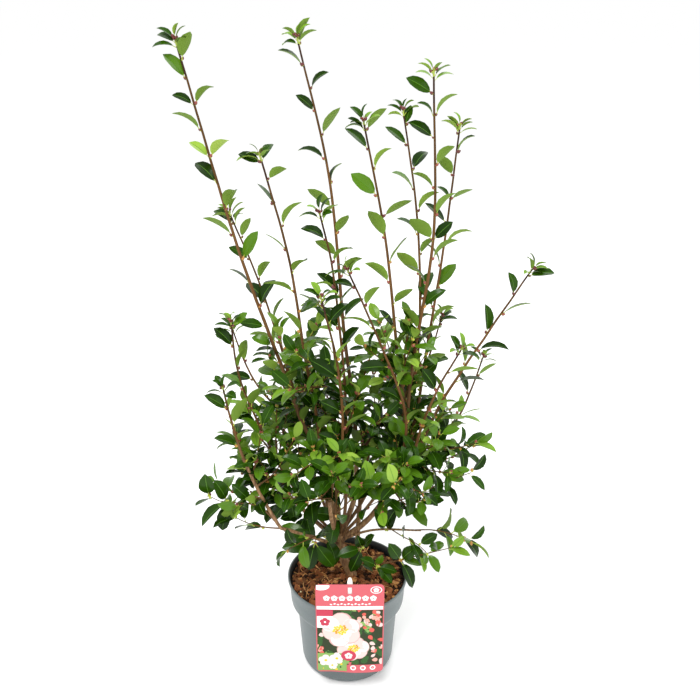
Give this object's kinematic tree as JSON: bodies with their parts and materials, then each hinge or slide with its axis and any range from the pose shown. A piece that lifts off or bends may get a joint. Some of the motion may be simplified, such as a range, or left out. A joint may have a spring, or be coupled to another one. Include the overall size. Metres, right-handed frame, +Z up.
{
  "type": "potted camellia shrub",
  "caption": "Young small-leaved camellia shrub with long leafy upright shoots over a dense low crown, in a round grey nursery pot with a picture label.",
  "frame": {"origin": "centre of the flat underside of the pot", "axes": "+Z up along the pot's axis, -Y towards the front of the plant, where the picture label stands, +X to the right seen from the front"},
  "size_m": [0.5173, 0.3249, 0.9937],
  "materials": {
    "pot": "satin",
    "mulch": "matte",
    "card": "satin",
    "pin": "satin",
    "bark": "matte",
    "shoot_bark": "matte",
    "foliage": "satin"
  },
  "bodies": {
    "root": {"arch_low": "shoot_bark", "arch_rise": "shoot_bark", "bough_back": "shoot_bark", "bough_centre": "shoot_bark", "bough_front": "shoot_bark", "bough_left": "shoot_bark", "bough_left_low": "shoot_bark", "bough_right": "shoot_bark", "crown_back_left": "foliage", "crown_back_low": "foliage", "crown_back_right": "foliage", "crown_front": "foliage", "crown_front_right": "foliage", "crown_left": "foliage", "crown_left_low": "foliage", "crown_middle": "foliage", "crown_right": "foliage", "crown_top_left": "foliage", "crown_top_right": "foliage", "label_card": "card", "label_pin": "pin", "plume_arch": "foliage", "plume_back": "foliage", "plume_back_left": "foliage", "plume_back_right": "foliage", "plume_centre_front": "foliage", "plume_centre_right": "foliage", "plume_centre_short": "foliage", "plume_centre_tall": "foliage", "plume_far_left": "foliage", "plume_far_right": "foliage", "plume_front": "foliage", "plume_front_right": "foliage", "plume_left": "foliage", "plume_left_behind": "foliage", "plume_left_inner": "foliage", "plume_right_inner": "foliage", "plume_right_low": "foliage", "plume_right_tall": "foliage", "plume_right_twin": "foliage", "pot": "pot", "potting_medium": "mulch", "spray_front_low": "foliage", "spray_left_front": "foliage", "spray_right_low": "foliage", "stem_behind": "bark", "trunk": "bark", "twig_right_low": "shoot_bark"}
  },
  "joints": []
}
